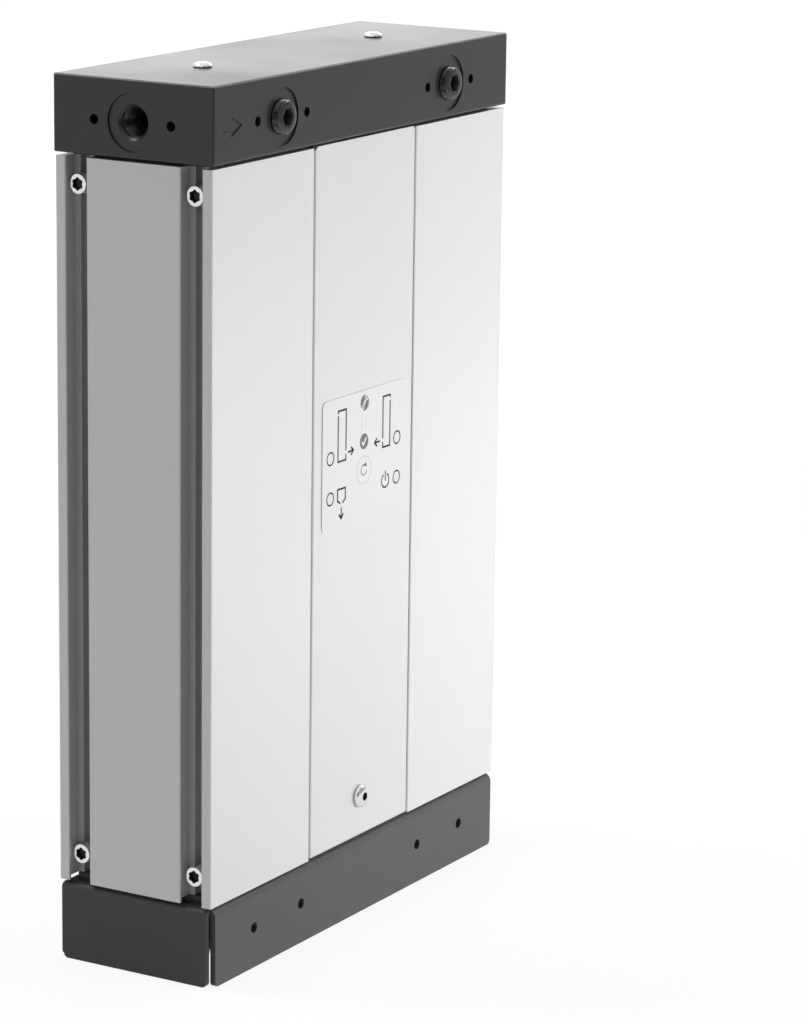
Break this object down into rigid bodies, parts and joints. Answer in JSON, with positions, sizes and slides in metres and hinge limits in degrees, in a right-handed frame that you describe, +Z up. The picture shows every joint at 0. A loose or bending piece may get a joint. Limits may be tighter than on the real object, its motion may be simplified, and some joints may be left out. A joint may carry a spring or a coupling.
{
  "type": "twin-column desiccant air dryer",
  "caption": "Compact pneumatic dryer: two grooved desiccant columns side by side between a ported head block and a folded base tray, with a control foil on the middle cover.",
  "frame": {"origin": "middle of the footprint, on the floor under the base tray", "axes": "+Z up, +X from the air inlet end to the air outlet end, -Y the front with the foil"},
  "size_m": [0.281, 0.0984, 0.4475],
  "materials": {
    "head_metal": "satin grey-black anodised",
    "plug_steel": "burnished steel",
    "screw_steel": "bright zinc plated",
    "column_metal": "matt natural anodised",
    "cover_metal": "matt natural anodised",
    "foil_film": "matt printed polyester",
    "tray_metal": "satin black powder coat",
    "foot_plastic": "moulded",
    "insert_metal": "turned",
    "seal_rubber": "matt",
    "desiccant": "packed beads",
    "sieve_metal": "punched",
    "felt_pad": "needled felt",
    "spring_steel": "drawn wire",
    "block_metal": "milled",
    "brass": "turned",
    "shuttle_plastic": "turned",
    "tube_steel": "drawn",
    "coil_plastic": "moulded",
    "bronze": "sintered",
    "board_laminate": "solder masked",
    "lamp_plastic": "clear tinted",
    "key_plastic": "moulded",
    "terminal_plastic": "moulded",
    "lead_jacket": "matt jacket"
  },
  "bodies": {
    "dryer": {"head_block": "head_metal", "port_plugs": "plug_steel", "head_top_screws": "screw_steel", "left_column": "column_metal", "right_column": "column_metal", "left_column_screws": "screw_steel", "right_column_screws": "screw_steel", "front_cover": "cover_metal", "rear_cover": "cover_metal", "cover_screws": "screw_steel", "control_foil": "foil_film", "base_tray": "tray_metal", "foot_plates": "foot_plastic", "base_screws": "screw_steel", "top_inserts": "insert_metal", "bottom_inserts": "insert_metal", "insert_screws": "screw_steel", "insert_seals": "seal_rubber", "desiccant_beds": "desiccant", "upper_sieves": "sieve_metal", "lower_sieves": "sieve_metal", "upper_felts": "felt_pad", "lower_felts": "felt_pad", "bed_springs": "spring_steel", "outlet_valve_block": "block_metal", "inlet_valve_block": "block_metal", "valve_block_screws": "screw_steel", "gallery_plugs": "plug_steel", "transfer_nipples": "brass", "nipple_seals": "seal_rubber", "riser_tube": "tube_steel", "riser_seals": "seal_rubber", "purge_nozzle": "brass", "armature_tubes": "tube_steel", "coils": "coil_plastic", "coil_nuts": "screw_steel", "left_plunger_spring": "spring_steel", "right_plunger_spring": "spring_steel", "silencers": "bronze", "circuit_board": "board_laminate", "board_spacers": "screw_steel", "board_screws": "screw_steel", "status_lamps": "lamp_plastic", "key_switch": "coil_plastic", "board_terminal": "terminal_plastic", "power_inlet": "coil_plastic", "inlet_pins": "brass", "coil_leads": "lead_jacket", "supply_lead": "lead_jacket"},
    "outlet_shuttle": {"outlet_shuttle": "shuttle_plastic"},
    "inlet_shuttle": {"inlet_shuttle": "shuttle_plastic"},
    "left_plunger": {"left_plunger": "tube_steel"},
    "right_plunger": {"right_plunger": "tube_steel"},
    "reset_key": {"reset_key": "key_plastic"}
  },
  "joints": [
    {"name": "outlet_shuttle_slide", "type": "slide", "parent": "dryer", "child": "outlet_shuttle", "axis": [1, 0, 0], "range_m": [0, 0.006]},
    {"name": "inlet_shuttle_slide", "type": "slide", "parent": "dryer", "child": "inlet_shuttle", "axis": [1, 0, 0], "range_m": [0, 0.006]},
    {"name": "left_plunger_lift", "type": "slide", "parent": "dryer", "child": "left_plunger", "axis": [0, 0, 1], "range_m": [0, 0.0018], "stiffness_N_per_m": 200, "springref_m": -0.005, "deforming": ["left_plunger_spring"]},
    {"name": "right_plunger_lift", "type": "slide", "parent": "dryer", "child": "right_plunger", "axis": [0, 0, 1], "range_m": [0, 0.0018], "stiffness_N_per_m": 200, "springref_m": -0.005, "deforming": ["right_plunger_spring"]},
    {"name": "reset_key_press", "type": "slide", "parent": "dryer", "child": "reset_key", "axis": [0, 1, 0], "range_m": [0, 0.0004], "stiffness_N_per_m": 800, "springref_m": -0.0005}
  ]
}
